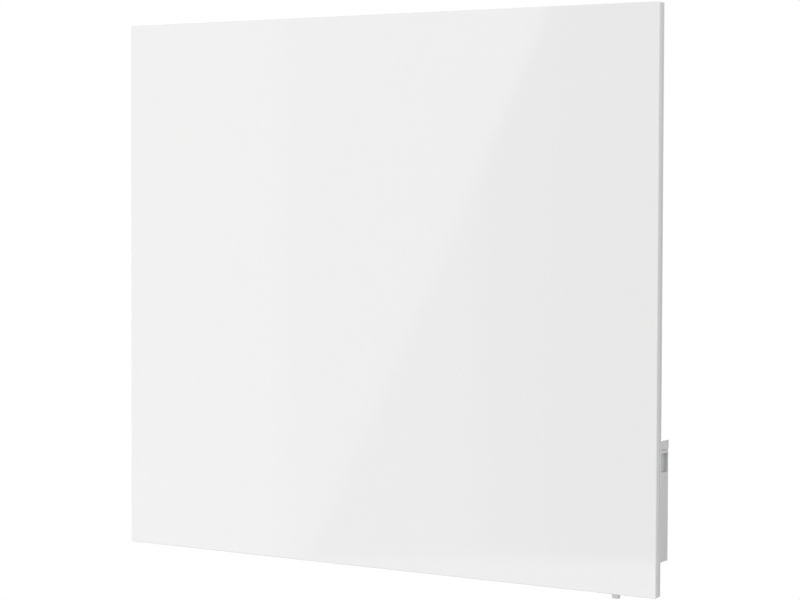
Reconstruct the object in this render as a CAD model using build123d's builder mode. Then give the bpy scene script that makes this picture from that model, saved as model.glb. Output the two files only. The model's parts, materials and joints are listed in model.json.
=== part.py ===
"""A wall-hung convector heater with a flat glass front, built piece by piece in millimetres.

X runs to the right along the wall, Y runs into the wall and Z runs up. The origin is on the wall,
at the centre of the four wall screws. A place called a reach is a distance out from the wall:
a reach of 84 is the plane y = -84, where the front of the glass is.
"""

import os

from build123d import *

os.makedirs("parts", exist_ok=True)

# Front panel: a sheet of glass bonded to a shallow steel tray.
panel_width = 450.0
panel_height = 400.0
glass_thickness = 5.0
glass_corner_radius = 1.0
glass_bevel = 0.4
bond_thickness = 0.5
bond_strip_width = 24.0
bond_strip_count = 5
bond_inset = 0.6
tray_sheet = 1.0
tray_rim = 1.0
tray_inset = 0.2

# Depths, from the wall outwards.
bracket_depth = 26.0
hang_gap = 2.0
casing_depth = 42.0
panel_gap = 6.5

# Standoffs that carry the panel on the casing.
standoff_radius = 5.0
standoff_columns = 3
standoff_rows = 2
standoff_side_inset = 35.0
standoff_end_inset = 28.0
standoff_thread_depth = 6.0

# Casing: two flat sheets joined by two channels, with a grille at each end.
casing_width = 330.0
casing_height = 356.0
casing_sheet = 0.8
casing_flange = 10.0
casing_screw_end_inset = 28.0
casing_screw_count = 3
grille_sheet = 1.2
grille_lip = 8.0
grille_slot_count = 37
grille_end_margin = 16.5
grille_slot_width = 5.0
grille_slot_length = 31.0

# Heating element: a sheathed rod bent into a U, through a pack of fins.
element_rise = 83.0
element_bend_inset = 24.2
element_end_inset = 39.2
element_rod_radius = 4.0
element_pass_pitch = 30.0
fin_depth = 26.0
fin_height = 54.0
fin_thickness = 0.5
fin_start_gap = 9.0
fin_count = 38
fin_end_gap = 15.0
element_plate = 0.8
element_plate_foot = 10.0
element_plate_margin = 3.0
element_rivet_spacing = 40.0
pin_radius = 1.5
pin_depth_in_rod = 6.0
insulator_radius = 3.4
insulator_length = 6.0
pin_length_outside = 9.0
tab_length = 7.0
tab_width = 6.3
tab_thickness = 0.8

# Heat shield between the element and the front sheet.
shield_sheet = 0.5
shield_gap = 2.3
shield_side_gap = 14.2
shield_height = 100.0
shield_rise = 15.0

# Thermal cut-out on its bracket above the element.
cutout_end_gap = 65.0
cutout_rise = 50.0
cutout_radius = 8.0
cutout_body_depth = 8.0
cutout_bracket_width = 18.0
cutout_bracket_sheet = 0.8
cutout_stand = 16.2
cutout_platform = 26.0
cutout_foot = 12.0

# Earth stud on the rear sheet.
earth_side_gap = 26.2
earth_rise = 38.0
earth_stud_radius = 2.0
earth_stud_length = 9.0
earth_nut_across = 7.0
earth_nut_height = 3.0
earth_lug_radius = 4.5
earth_lug_sheet = 0.8
earth_barrel_radius = 1.7
earth_barrel_length = 5.0

# Insulated leads inside the casing.
lead_radius = 1.2
lead_bend_radius = 5.0
lead_live_gap = 4.4
lead_middle_gap = 8.4
lead_earth_gap = 9.8
lead_over_rise = 30.0
lead_link_drop = 28.0
lead_link_rise = 22.0

# Control module: it hangs on the casing's right side, behind the lower right corner of the panel.
module_width = 44.4
module_drop = 4.4
module_height = 84.2
module_depth = 38.0
module_wall = 2.0
module_edge_radius = 1.0
cover_depth = 5.5
cap_height = 6.4
cap_overhang = 0.2
cap_wall = 1.8
cap_rib = 1.2
cap_rib_depth = 2.0
seam_bevel = 0.9
parting_bevel = 0.3
module_boss = 2.0
module_boss_radius = 3.5
module_screw_front_gap = 20.0
module_screw_rises = (10.4, 52.4)
cover_post_radius = 3.0
cover_post_joint = 0.5
cover_post_length = 11.5
cover_screw_rises = (6.4, 58.4)

# Display window in the module's side.
window_height = 13.2
window_length = 20.1
window_rear_margin = 1.9
window_top_drop = 2.5
window_depth = 2.6
window_floor = 1.2
window_frame = 1.4
lens_thickness = 1.0
display_length = 13.0
display_height = 10.0
display_edge = 1.0

# Boards and what they carry.
board_thickness = 1.6
control_board_side_gap = 10.2
control_board_front_gap = 0.4
control_board_length = 29.6
control_board_rise = 18.4
control_board_height = 57.0
board_guide_length = 10.0
board_guide_height = 4.0
board_guide_wall = 1.4
power_board_side_gap = 4.0
power_board_width = 27.5
power_board_rise = 18.4
power_board_height = 57.0
board_post_length = 4.0
board_post_radius = 2.5
board_screw_inset = 3.0
relay_size = (15.0, 15.5, 19.0)
relay_on_board = (19.5, 46.0)
transformer_size = (22.0, 16.0, 14.0)
transformer_on_board = (14.5, 26.0)
capacitor_radius = 4.0
capacitor_length = 12.5
capacitor_on_board = (6.0, 43.5)
terminal_pole = 5.0
terminal_poles = 3
terminal_width = 12.0
terminal_depth = 10.4
terminal_side_inset = 1.5
terminal_rise = 9.5
terminal_front_gap = 13.0

# Push buttons in the module's side, with a switch behind each.
button_radius = 4.5
button_flange_radius = 5.5
button_flange = 1.0
button_stand = 1.0
button_travel = 0.8
button_stop_gap = 0.1
button_pitch = 12.0
button_middle_rise = 38.4
button_front_gap = 14.0
switch_side = 6.0
switch_height = 3.5
switch_tip_radius = 1.7

# Power rocker in the module's underside.
rocker_side_gap = 10.9
rocker_front_gap = 18.0
rocker_width = 10.4
rocker_swing_radius = 8.8
rocker_end_play = 0.3
rocker_side_play = 0.2
rocker_valley = 2.6
rocker_inner_height = 2.5
rocker_tilt = 10.0
rocker_pivot_rise = 1.2
rocker_pin_radius = 1.0
rocker_frame_wall = 1.1
rocker_frame_end_wall = 1.2
rocker_frame_height = 14.4
rocker_flange = 1.5
rocker_flange_thickness = 1.6
rocker_tab_height = 3.5

# Cable gland under the module.
gland_side_gap = 15.6
gland_front_gap = 16.0
gland_across = 15.0
gland_hex_height = 5.0
gland_thread_radius = 6.0
gland_thread_height = 8.0
gland_neck_radius = 5.5
gland_neck_height = 8.0
gland_bore_radius = 4.0
gland_nut_height = 16.0
gland_nut_hex_height = 8.0
gland_nut_mouth_radius = 4.5
gland_seal_radius = 3.0
gland_seal_tip_radius = 2.7
gland_seal_bore_radius = 2.5
gland_seal_stand = 5.0
gland_seal_tip_length = 3.0
gland_locknut_height = 4.0

# Air temperature sensor in the module's underside.
sensor_side_shift = 1.4
sensor_behind_gland = 13.0
sensor_radius = 2.0
sensor_drop = 4.0
sensor_tip_round = 1.8
sensor_collar_radius = 3.2
sensor_collar_height = 2.0

# Grommet that takes the leads from the module into the casing.
grommet_height = 17.0
grommet_width = 7.0
grommet_wall = 1.5
grommet_lip = 1.2

# Wall bracket.
rail_x = 110.0
rail_web = 30.0
rail_height = 280.0
rail_sheet = 1.5
hook_neck_height = 10.0
hook_tooth_height = 8.0
hook_tooth_depth = 5.0
hook_tooth_gap = 0.4
hook_pitch_z = 200.0
hook_seat_gap = 0.1
lift_travel = 12.0
lift_spare = 2.0
slot_side_gap = 1.0
wall_screw_inset = 15.0
wall_screw_end_gap = 30.0
wall_screw_hole_radius = 2.75
crossbar_pitch_z = 150.0
crossbar_crown = 24.0
crossbar_foot = 12.0
rivet_radius = 2.0
rivet_head_radius = 3.6
rivet_head_height = 1.2
rivet_head_taper = 20.0
bumper_radius = 6.0
bumper_pitch_x = 120.0
bumper_gap = 0.3

# Fasteners and fits.
screw_radius = 2.0
screw_head_radius = 4.0
screw_head_height = 2.4
screw_grip = 5.0
small_screw_radius = 1.2
small_screw_head_radius = 2.5
small_screw_head_height = 1.6
small_screw_grip = 6.0
hole_clearance = 0.2
fit_clearance = 0.05
seat_clearance = 0.15
recess_share = 0.55

# Levels worked out from the depths above, as reaches from the wall.
casing_back = bracket_depth + hang_gap
casing_front = casing_back + casing_depth
casing_inner_back = casing_back + casing_sheet
casing_inner_front = casing_front - casing_sheet
tray_back = casing_front + panel_gap
tray_floor = tray_back + tray_rim
bond_back = tray_floor + tray_sheet
glass_back = bond_back + bond_thickness
casing_side_x = casing_width / 2
casing_inner_x = casing_side_x - casing_sheet
sheet_height = casing_height - 2 * grille_sheet
flange_x = casing_inner_x - casing_flange / 2
element_reach = casing_back + casing_depth / 2
wall_screw_x = rail_x - wall_screw_inset
wall_screw_z = rail_height / 2 - wall_screw_end_gap

# Spacings inside the casing, each worked out from the casing's size and a named gap.
casing_low_z = -casing_height / 2
standoff_pitches = (
    (casing_width - 2 * standoff_side_inset) / (standoff_columns - 1),
    (casing_height - 2 * standoff_end_inset) / (standoff_rows - 1),
)
casing_screw_pitch = (casing_height - 2 * casing_screw_end_inset) / (casing_screw_count - 1)
grille_slot_pitch = (casing_width - 2 * grille_end_margin) / (grille_slot_count - 1)
shield_width = 2 * (casing_inner_x - shield_side_gap)
element_bend_x = element_bend_inset - casing_inner_x
element_end_x = casing_inner_x - element_end_inset
element_height_z = casing_low_z + element_rise
upper_rod_z = element_height_z + element_pass_pitch / 2
lower_rod_z = element_height_z - element_pass_pitch / 2
fin_start_x = element_bend_x + fin_start_gap
fin_end_x = element_end_x - fin_end_gap
fin_pitch = (fin_end_x - fin_thickness - fin_start_x) / (fin_count - 1)
shield_centre_z = element_height_z + shield_rise
cutout_x = element_end_x - cutout_end_gap
cutout_z = element_height_z + fin_height / 2 + cutout_rise
earth_x = casing_inner_x - earth_side_gap
earth_z = casing_low_z + earth_rise

# Levels of the control module.
module_left_x = casing_side_x
module_right_x = module_left_x + module_width
module_bottom_z = casing_low_z - module_drop
module_front = casing_front
module_back = module_front - module_depth
parting = module_back + cover_depth
module_top_z = module_bottom_z + module_height
body_top_z = module_top_z - cap_height
inner_left_x = module_left_x + module_wall
inner_right_x = module_right_x - module_wall
inner_floor_z = module_bottom_z + module_wall
inner_front = module_front - module_wall
inner_back = module_back + module_wall
window_top_z = body_top_z - window_top_drop
window_bottom_z = window_top_z - window_height
window_back = module_back + window_rear_margin
window_front = window_back + window_length
window_floor_x = module_right_x - window_depth
window_block_x = window_floor_x - window_floor
display_reach = (parting + window_front) / 2
display_z = (window_top_z + window_bottom_z) / 2
display_side = display_length / 2
power_board_front = inner_front - board_post_length
power_board_back = power_board_front - board_thickness
power_board_left_x = module_left_x + power_board_side_gap
power_board_bottom_z = module_bottom_z + power_board_rise
board_screw_places = (
    (power_board_left_x + board_screw_inset, power_board_bottom_z + power_board_height - board_screw_inset),
    (power_board_left_x + power_board_width - board_screw_inset, power_board_bottom_z + board_screw_inset),
)
terminal_left_x = power_board_left_x + terminal_side_inset
terminal_centre_z = power_board_bottom_z + terminal_rise
terminal_entry_reach = module_front - terminal_front_gap
control_board_x = module_right_x - control_board_side_gap
control_board_face_x = control_board_x + board_thickness
control_board_back = inner_front - control_board_front_gap - control_board_length
control_board_bottom_z = module_bottom_z + control_board_rise
module_screw_reach = module_front - module_screw_front_gap
module_screw_heights = [module_bottom_z + rise for rise in module_screw_rises]
cover_screw_heights = [module_bottom_z + rise for rise in cover_screw_rises]
button_reach = module_front - button_front_gap
button_middle_z = module_bottom_z + button_middle_rise
button_heights = [button_middle_z + step * button_pitch for step in (1, 0, -1)]
cover_post_x = inner_left_x + cover_post_radius - cover_post_joint
rocker_x = module_right_x - rocker_side_gap
rocker_reach = module_front - rocker_front_gap
rocker_window_length = 2 * (rocker_swing_radius + rocker_end_play)
rocker_window_width = rocker_width + 2 * rocker_side_play
rocker_frame_length = rocker_window_length + 2 * rocker_frame_end_wall
rocker_frame_width = rocker_window_width + 2 * rocker_frame_wall
rocker_pivot_z = module_bottom_z + rocker_pivot_rise
gland_x = module_left_x + gland_side_gap
gland_reach = module_front - gland_front_gap
sensor_x = gland_x + sensor_side_shift
sensor_reach = gland_reach - sensor_behind_gland


def pan_screw(radius, head_radius, head_height, grip):
    """A pan-head screw along Z: its head stands on z = 0 and its shank hangs below."""
    with BuildPart() as screw:
        with BuildSketch(Plane.XY):
            Circle(head_radius)
        extrude(amount=head_height)
        fillet(screw.edges().sort_by(Axis.Z)[-1], head_height / 3)
        with BuildSketch(Plane.XY):
            Circle(radius)
        extrude(amount=-grip)
        chamfer(screw.edges().sort_by(Axis.Z)[0], radius / 3)
        with BuildSketch(Plane.XY.offset(head_height)):
            Rectangle(2 * head_radius * recess_share, radius / 2)
            Rectangle(radius / 2, 2 * head_radius * recess_share)
        extrude(amount=-head_height / 2, mode=Mode.SUBTRACT)
    return screw.part


def block(x_low, x_high, reach_low, reach_high, z_low, z_high, mode=Mode.ADD):
    """A plain block between two limits each way, in the part that is being built."""
    centre = ((x_low + x_high) / 2, -(reach_low + reach_high) / 2, (z_low + z_high) / 2)
    with Locations(centre):
        Box(x_high - x_low, reach_high - reach_low, z_high - z_low, mode=mode)


# Glass: one flat pane with small corner radii and a fine bevel round both faces.
with BuildPart() as glass_panel:
    with BuildSketch(Plane.XZ.offset(glass_back)):
        RectangleRounded(panel_width, panel_height, glass_corner_radius)
    extrude(amount=glass_thickness)
    chamfer(glass_panel.faces().sort_by(Axis.Y)[0].outer_wire().edges(), glass_bevel)
    chamfer(glass_panel.faces().sort_by(Axis.Y)[-1].outer_wire().edges(), glass_bevel)
glass_panel.part.label = "glass_panel"
export_step(glass_panel.part, "parts/glass_panel.step")

# Bond: upright strips of adhesive tape, the outer two close to the edges of the pane.
bond_width = panel_width - 2 * bond_inset
bond_pitch = (bond_width - bond_strip_width) / (bond_strip_count - 1)
with BuildPart() as glass_bond:
    with BuildSketch(Plane.XZ.offset(bond_back)):
        with GridLocations(bond_pitch, 0, bond_strip_count, 1):
            Rectangle(bond_strip_width, panel_height - 2 * bond_inset)
    extrude(amount=bond_thickness)
glass_bond.part.label = "glass_bond"
export_step(glass_bond.part, "parts/glass_bond.step")

# Tray: a sheet behind the glass with a low rim folded back all round.
tray_width = panel_width - 2 * tray_inset
tray_height = panel_height - 2 * tray_inset
with BuildPart() as carrier_tray:
    with BuildSketch(Plane.XZ.offset(tray_back)):
        RectangleRounded(tray_width, tray_height, glass_corner_radius)
    extrude(amount=tray_rim + tray_sheet)
    with BuildSketch(Plane.XZ.offset(tray_back)):
        Rectangle(tray_width - 2 * tray_sheet, tray_height - 2 * tray_sheet)
    extrude(amount=tray_rim, mode=Mode.SUBTRACT)
carrier_tray.part.label = "carrier_tray"
export_step(carrier_tray.part, "parts/carrier_tray.step")

# Standoffs: round spacers between the casing and the tray, each with a blind thread.
with BuildPart() as panel_standoffs:
    with BuildSketch(Plane.XZ.offset(casing_front)):
        with GridLocations(*standoff_pitches, standoff_columns, standoff_rows):
            Circle(standoff_radius)
    extrude(amount=tray_floor - casing_front)
    with BuildSketch(Plane.XZ.offset(casing_front)):
        with GridLocations(*standoff_pitches, standoff_columns, standoff_rows):
            Circle(screw_radius + fit_clearance)
    extrude(amount=standoff_thread_depth, mode=Mode.SUBTRACT)
panel_standoffs.part.label = "panel_standoffs"
export_step(panel_standoffs.part, "parts/panel_standoffs.step")

# Standoff screws: driven from inside the casing, through its front sheet.
standoff_screw = pan_screw(
    screw_radius, screw_head_radius, screw_head_height, casing_sheet + screw_grip
)
standoff_seats = Plane((0, -casing_inner_front, 0), x_dir=(1, 0, 0), z_dir=(0, 1, 0))
with BuildPart() as standoff_screws:
    with Locations(standoff_seats):
        with GridLocations(*standoff_pitches, standoff_columns, standoff_rows):
            add(standoff_screw)
standoff_screws.part.label = "standoff_screws"
export_step(standoff_screws.part, "parts/standoff_screws.step")

# Casing front: a flat sheet with holes for the standoff screws and the rivets at its sides.
with BuildPart() as casing_front_sheet:
    with BuildSketch(Plane.XZ.offset(casing_inner_front)):
        Rectangle(casing_width, sheet_height)
        with GridLocations(*standoff_pitches, standoff_columns, standoff_rows):
            Circle(screw_radius + hole_clearance, mode=Mode.SUBTRACT)
        with GridLocations(2 * flange_x, casing_screw_pitch, 2, casing_screw_count):
            Circle(rivet_radius + fit_clearance, mode=Mode.SUBTRACT)
    extrude(amount=casing_sheet)
casing_front_sheet.part.label = "casing_front"
export_step(casing_front_sheet.part, "parts/casing_front.step")

# Casing rear: a flat sheet with four slots for the hooks and screw holes at its sides.
slot_width = rail_sheet + 2 * slot_side_gap
slot_height = hook_neck_height + lift_travel + lift_spare
hook_tops = (hook_pitch_z / 2, -hook_pitch_z / 2)
with BuildPart() as casing_rear_sheet:
    with BuildSketch(Plane.XZ.offset(casing_back)):
        Rectangle(casing_width, sheet_height)
        for hook_top in hook_tops:
            slot_z = hook_top + hook_seat_gap - slot_height / 2
            with Locations((-rail_x, slot_z), (rail_x, slot_z)):
                Rectangle(slot_width, slot_height, mode=Mode.SUBTRACT)
        with GridLocations(2 * flange_x, casing_screw_pitch, 2, casing_screw_count):
            Circle(screw_radius + hole_clearance, mode=Mode.SUBTRACT)
    extrude(amount=casing_sheet)
casing_rear_sheet.part.label = "casing_rear"
export_step(casing_rear_sheet.part, "parts/casing_rear.step")

# Casing sides: a channel on the left and one on the right, with its flanges inside the sheets.
for side, sign in (("left", -1), ("right", 1)):
    with BuildPart() as casing_side:
        with BuildSketch(Plane.XY.offset(-sheet_height / 2)):
            with Locations((sign * (casing_inner_x + casing_sheet / 2), -element_reach)):
                Rectangle(casing_sheet, casing_depth - 2 * casing_sheet)
            for flange_reach in (casing_inner_back, casing_inner_front - casing_sheet):
                with Locations((sign * flange_x, -(flange_reach + casing_sheet / 2))):
                    Rectangle(casing_flange, casing_sheet)
        extrude(amount=sheet_height)
        with BuildSketch(Plane.XZ.offset(casing_inner_back)):
            with GridLocations(2 * flange_x, casing_screw_pitch, 2, casing_screw_count):
                Circle(screw_radius + fit_clearance)
        extrude(amount=casing_sheet, mode=Mode.SUBTRACT)
        with BuildSketch(Plane.XZ.offset(casing_inner_front - casing_sheet)):
            with GridLocations(2 * flange_x, casing_screw_pitch, 2, casing_screw_count):
                Circle(rivet_radius + fit_clearance)
        extrude(amount=casing_sheet, mode=Mode.SUBTRACT)
        if side == "right":
            with BuildSketch(Plane.YZ.offset(casing_inner_x)):
                with Locations((-terminal_entry_reach, terminal_centre_z)):
                    SlotOverall(grommet_height, grommet_width, rotation=90)
                for screw_z in module_screw_heights:
                    with Locations((-module_screw_reach, screw_z)):
                        Circle(screw_radius + hole_clearance)
            extrude(amount=casing_sheet, mode=Mode.SUBTRACT)
    casing_side.part.label = f"casing_side_{side}"
    export_step(casing_side.part, f"parts/casing_side_{side}.step")

# Casing screws: they hold the rear sheet to the channels, with their heads on the outside.
casing_screw = pan_screw(screw_radius, screw_head_radius, screw_head_height, screw_grip)
with BuildPart() as casing_screws:
    with Locations(Plane((0, -casing_back, 0), x_dir=(1, 0, 0), z_dir=(0, 1, 0))):
        with GridLocations(2 * flange_x, casing_screw_pitch, 2, casing_screw_count):
            add(casing_screw)
casing_screws.part.label = "casing_screws"
export_step(casing_screws.part, "parts/casing_screws.step")

# Casing rivets: they hold the front sheet to the channels, set from the outside.
rivet_length = 2 * casing_sheet
with BuildPart() as casing_rivets:
    with BuildSketch(Plane.XZ.offset(casing_front)):
        with GridLocations(2 * flange_x, casing_screw_pitch, 2, casing_screw_count):
            Circle(rivet_head_radius)
    extrude(amount=rivet_head_height, taper=rivet_head_taper)
    with BuildSketch(Plane.XZ.offset(casing_front)):
        with GridLocations(2 * flange_x, casing_screw_pitch, 2, casing_screw_count):
            Circle(rivet_radius)
    extrude(amount=-(rivet_length + rivet_head_height))
casing_rivets.part.label = "casing_rivets"
export_step(casing_rivets.part, "parts/casing_rivets.step")

# Grilles: the outlet on top and the inlet below, each a slotted plate with a lip at its two long sides.
lip_width = 2 * (casing_inner_x - casing_flange) - 2 * hole_clearance
for name, sign in (("outlet_grille", 1), ("inlet_grille", -1)):
    plate_z = sign * (sheet_height / 2 + grille_sheet / 2)
    lip_z = sign * (sheet_height / 2 - grille_lip / 2)
    with BuildPart() as grille:
        with Locations((0, -element_reach, plate_z)):
            Box(casing_width, casing_depth, grille_sheet)
        for lip_reach in (
            casing_inner_back + grille_sheet / 2,
            casing_inner_front - grille_sheet / 2,
        ):
            with Locations((0, -lip_reach, lip_z)):
                Box(lip_width, grille_sheet, grille_lip)
        with BuildSketch(Plane.XY.offset(plate_z - grille_sheet / 2)):
            with Locations((0, -element_reach)):
                with GridLocations(grille_slot_pitch, 0, grille_slot_count, 1):
                    SlotOverall(grille_slot_length, grille_slot_width, rotation=90)
        extrude(amount=grille_sheet, mode=Mode.SUBTRACT)
    grille.part.label = name
    export_step(grille.part, f"parts/{name}.step")

# Heat shield: a thin sheet behind the casing's front, stood off by its folded top and bottom edges.
shield_reach = casing_inner_front - shield_gap
with BuildPart() as heat_shield:
    with BuildSketch(Plane.XZ.offset(shield_reach - shield_sheet)):
        with Locations((0, shield_centre_z)):
            Rectangle(shield_width, shield_height)
    extrude(amount=shield_sheet)
    for edge_sign in (-1, 1):
        with BuildSketch(Plane.XZ.offset(shield_reach)):
            with Locations((0, shield_centre_z + edge_sign * (shield_height - shield_sheet) / 2)):
                Rectangle(shield_width, shield_sheet)
        extrude(amount=shield_gap)
heat_shield.part.label = "heat_shield"
export_step(heat_shield.part, "parts/heat_shield.step")

# Element rod: a round sheath bent into a U, with a blind hole in each end for its cold pin.
rod_start = (element_end_x, -element_reach, upper_rod_z)
rod_plane = Plane(rod_start, x_dir=(0, 1, 0), z_dir=(-1, 0, 0))
end_plane = Plane((element_end_x, -element_reach, element_height_z), x_dir=(0, 1, 0), z_dir=(1, 0, 0))
with BuildPart() as element_sheath:
    with BuildLine(Plane.XZ.offset(element_reach)) as rod_path:
        Line((element_end_x, upper_rod_z), (element_bend_x, upper_rod_z))
        ThreePointArc(
            (element_bend_x, upper_rod_z),
            (element_bend_x - element_pass_pitch / 2, element_height_z),
            (element_bend_x, lower_rod_z),
        )
        Line((element_bend_x, lower_rod_z), (element_end_x, lower_rod_z))
    with BuildSketch(rod_plane):
        Circle(element_rod_radius)
    sweep(path=rod_path.wires()[0])
    with BuildSketch(end_plane):
        with GridLocations(0, element_pass_pitch, 1, 2):
            Circle(pin_radius + fit_clearance)
    extrude(amount=-pin_depth_in_rod, mode=Mode.SUBTRACT)
element_sheath.part.label = "element_sheath"
export_step(element_sheath.part, "parts/element_sheath.step")

# Insulators: a ceramic bead on each pin, against the end of the rod.
with BuildPart() as terminal_insulators:
    with BuildSketch(end_plane):
        with GridLocations(0, element_pass_pitch, 1, 2):
            Circle(insulator_radius)
            Circle(pin_radius + fit_clearance, mode=Mode.SUBTRACT)
    extrude(amount=insulator_length)
terminal_insulators.part.label = "terminal_insulators"
export_step(terminal_insulators.part, "parts/terminal_insulators.step")

# Terminals: the cold pins, each ending in a flat push-on tab.
tab_start_x = element_end_x + insulator_length + pin_length_outside - pin_radius
tab_end_x = element_end_x + insulator_length + pin_length_outside + tab_length
with BuildPart() as element_terminals:
    with BuildSketch(end_plane.offset(-pin_depth_in_rod)):
        with GridLocations(0, element_pass_pitch, 1, 2):
            Circle(pin_radius)
    extrude(amount=pin_depth_in_rod + insulator_length + pin_length_outside)
    for rod_z in (upper_rod_z, lower_rod_z):
        block(
            tab_start_x,
            tab_end_x,
            element_reach - tab_thickness / 2,
            element_reach + tab_thickness / 2,
            rod_z - tab_width / 2,
            rod_z + tab_width / 2,
        )
element_terminals.part.label = "element_terminals"
export_step(element_terminals.part, "parts/element_terminals.step")

# Fins: thin plates threaded on both passes of the rod.
fin_planes = [Plane.YZ.offset(fin_start_x + index * fin_pitch) for index in range(fin_count)]
with BuildPart() as element_fins:
    with BuildSketch(*fin_planes):
        with Locations((-element_reach, element_height_z)):
            Rectangle(fin_depth, fin_height)
            with GridLocations(0, element_pass_pitch, 1, 2):
                Circle(element_rod_radius + fit_clearance, mode=Mode.SUBTRACT)
    extrude(amount=fin_thickness)
element_fins.part.label = "element_fins"
export_step(element_fins.part, "parts/element_fins.step")

# Element brackets: an upright plate at each end of the fin pack, with a foot on the rear sheet.
plate_front = element_reach + fin_depth / 2
plate_low_z = element_height_z - fin_height / 2 - element_plate_margin
plate_high_z = element_height_z + fin_height / 2 + element_plate_margin
left_plate_x = (fin_start_x + element_bend_x) / 2 - element_plate / 2
right_plate_x = (fin_end_x + element_end_x) / 2 - element_plate / 2
for side, plate_x, sign in (("left", left_plate_x, -1), ("right", right_plate_x, 1)):
    outer_x = plate_x + (element_plate if sign > 0 else 0)
    foot_centre_x = outer_x + sign * element_plate_foot / 2
    with BuildPart() as element_bracket:
        block(
            plate_x,
            plate_x + element_plate,
            casing_inner_back,
            plate_front,
            plate_low_z,
            plate_high_z,
        )
        with BuildSketch(Plane.XZ.offset(casing_inner_back)):
            with Locations((foot_centre_x, element_height_z)):
                Rectangle(element_plate_foot, plate_high_z - plate_low_z)
                with GridLocations(0, element_rivet_spacing, 1, 2):
                    Circle(rivet_radius + fit_clearance, mode=Mode.SUBTRACT)
        extrude(amount=element_plate)
        with BuildSketch(Plane.YZ.offset(plate_x)):
            with Locations((-element_reach, element_height_z)):
                with GridLocations(0, element_pass_pitch, 1, 2):
                    Circle(element_rod_radius + fit_clearance)
        extrude(amount=element_plate, mode=Mode.SUBTRACT)
    element_bracket.part.label = f"element_bracket_{side}"
    export_step(element_bracket.part, f"parts/element_bracket_{side}.step")


# Control housing: the front shell of the module, open at its back and top.
with BuildPart() as control_housing:
    block(module_left_x, module_right_x, parting, module_front, module_bottom_z, body_top_z)
    fillet(control_housing.edges().filter_by(Axis.Z).sort_by(Axis.Y)[:2], module_edge_radius)
    top_edges = control_housing.edges().filter_by(Axis.Y).group_by(Axis.Z)[-1]
    chamfer(top_edges.sort_by(Axis.X)[-1], seam_bevel)
    parting_edges = control_housing.edges().filter_by(Axis.Z).group_by(Axis.Y)[-1]
    chamfer(parting_edges.sort_by(Axis.X)[-1], parting_bevel)
    block(
        inner_left_x,
        inner_right_x,
        parting,
        inner_front,
        inner_floor_z,
        body_top_z,
        mode=Mode.SUBTRACT,
    )
    low_z = window_bottom_z - window_frame
    block(window_block_x, inner_right_x, parting, window_front + window_frame, low_z, body_top_z)
    block(
        window_floor_x,
        module_right_x,
        parting,
        window_front,
        window_bottom_z,
        window_top_z,
        mode=Mode.SUBTRACT,
    )
    block(
        window_block_x,
        window_floor_x,
        display_reach - display_side,
        display_reach + display_side,
        display_z - display_height / 2,
        display_z + display_height / 2,
        mode=Mode.SUBTRACT,
    )
    # Posts for the cover screws, bosses for the module screws and posts for the power board.
    with BuildSketch(Plane.XZ.offset(parting)):
        for post_z in cover_screw_heights:
            with Locations((cover_post_x, post_z)):
                Circle(cover_post_radius)
    extrude(amount=cover_post_length)
    with BuildSketch(Plane.YZ.offset(module_left_x)):
        for boss_z in module_screw_heights:
            with Locations((-module_screw_reach, boss_z)):
                Circle(module_boss_radius)
    extrude(amount=module_wall + module_boss)
    with BuildSketch(Plane.XZ.offset(power_board_front)):
        with Locations(*board_screw_places):
            Circle(board_post_radius)
    extrude(amount=board_post_length)
    # Slotted guides that hold the control board's front edge.
    guide_low = control_board_x - fit_clearance - board_guide_wall
    guide_high = control_board_face_x + fit_clearance + board_guide_wall
    for guide_z in (
        control_board_bottom_z,
        control_board_bottom_z + control_board_height - board_guide_height,
    ):
        guide_top = guide_z + board_guide_height
        guide_back = inner_front - board_guide_length
        block(guide_low, guide_high, guide_back, inner_front, guide_z, guide_top)
        block(
            control_board_x - fit_clearance,
            control_board_face_x + fit_clearance,
            guide_back,
            inner_front,
            guide_z,
            guide_top,
            mode=Mode.SUBTRACT,
        )
    # Threads for the screws.
    with BuildSketch(Plane.XZ.offset(parting)):
        for post_z in cover_screw_heights:
            with Locations((cover_post_x, post_z)):
                Circle(small_screw_radius + fit_clearance)
    extrude(amount=small_screw_grip + module_wall, mode=Mode.SUBTRACT)
    with BuildSketch(Plane.YZ.offset(module_left_x)):
        for boss_z in module_screw_heights:
            with Locations((-module_screw_reach, boss_z)):
                Circle(screw_radius + fit_clearance)
    extrude(amount=module_wall + module_boss, mode=Mode.SUBTRACT)
    with BuildSketch(Plane.XZ.offset(power_board_front)):
        with Locations(*board_screw_places):
            Circle(small_screw_radius + fit_clearance)
    extrude(amount=board_post_length + module_wall / 2, mode=Mode.SUBTRACT)
    # Holes for the buttons, the leads, the gland, the sensor and the rocker's frame.
    with BuildSketch(Plane.YZ.offset(inner_right_x)):
        for button_z in button_heights:
            with Locations((-button_reach, button_z)):
                Circle(button_radius + hole_clearance)
    extrude(amount=module_wall, mode=Mode.SUBTRACT)
    with BuildSketch(Plane.YZ.offset(module_left_x)):
        with Locations((-terminal_entry_reach, terminal_centre_z)):
            SlotOverall(grommet_height, grommet_width, rotation=90)
    extrude(amount=module_wall, mode=Mode.SUBTRACT)
    with BuildSketch(Plane.XY.offset(module_bottom_z)):
        with Locations((gland_x, -gland_reach)):
            Circle(gland_thread_radius + hole_clearance)
        with Locations((sensor_x, -sensor_reach)):
            Circle(sensor_radius + fit_clearance)
        with Locations((rocker_x, -rocker_reach)):
            Rectangle(
                rocker_frame_width + 2 * fit_clearance,
                rocker_frame_length + 2 * fit_clearance,
            )
    extrude(amount=module_wall, mode=Mode.SUBTRACT)
control_housing.part.label = "control_housing"
export_step(control_housing.part, "parts/control_housing.step")

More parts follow.
